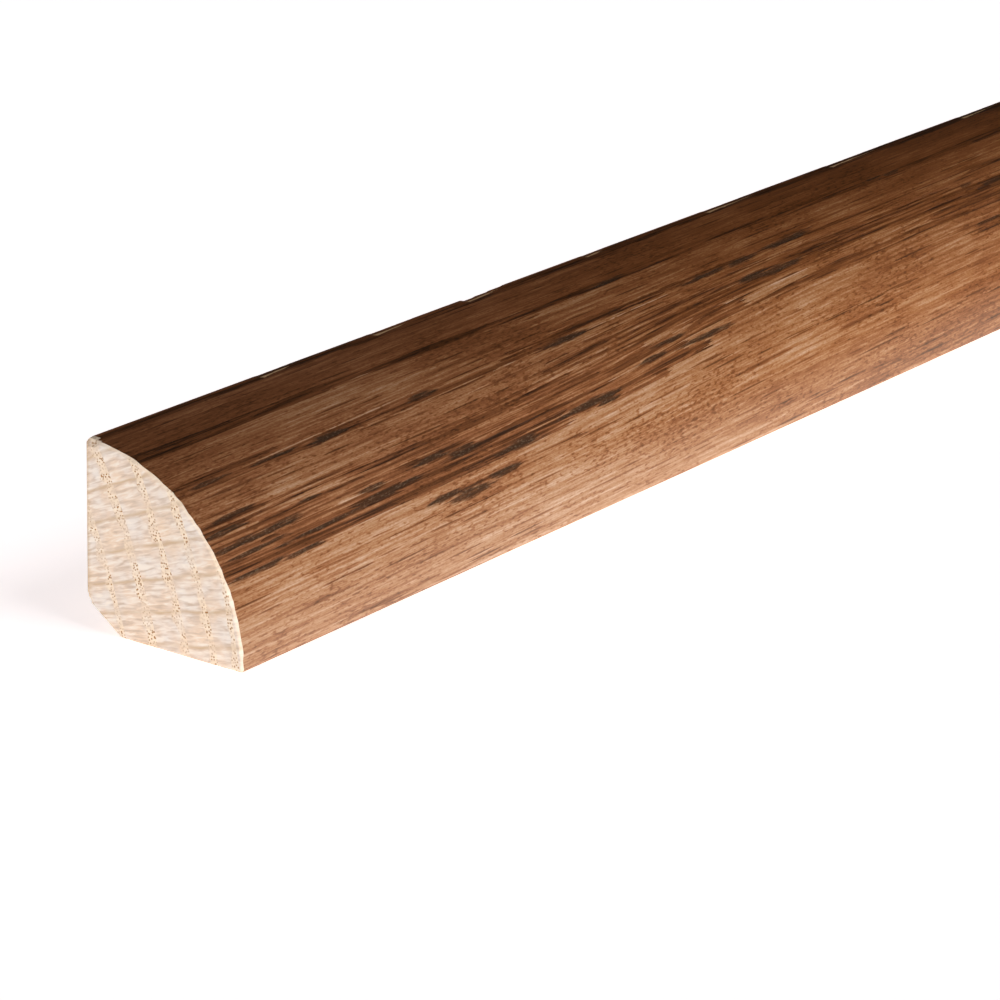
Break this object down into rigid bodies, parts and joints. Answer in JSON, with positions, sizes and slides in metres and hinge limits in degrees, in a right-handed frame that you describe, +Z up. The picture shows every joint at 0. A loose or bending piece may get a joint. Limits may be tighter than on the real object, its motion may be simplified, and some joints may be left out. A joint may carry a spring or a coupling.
{
  "type": "quarter round moulding",
  "caption": "Straight oak moulding of quarter circle section, stained on its round face, with flat base and back and a relieved inner corner. Covers the joint of a floor and a wall base.",
  "frame": {"origin": "on the floor, under the middle of the section's box, half way along the strip", "axes": "+Y along the strip, away from the near end of the picture; +X from the flat back to the round show face; +Z up"},
  "size_m": [0.019, 1.9812, 0.019],
  "materials": {
    "stained_oak": "brown stain and satin varnish on the round face, raw sawn ends, raw planed back and base"
  },
  "bodies": {
    "root": {"quarter_round": "stained_oak"}
  },
  "joints": []
}
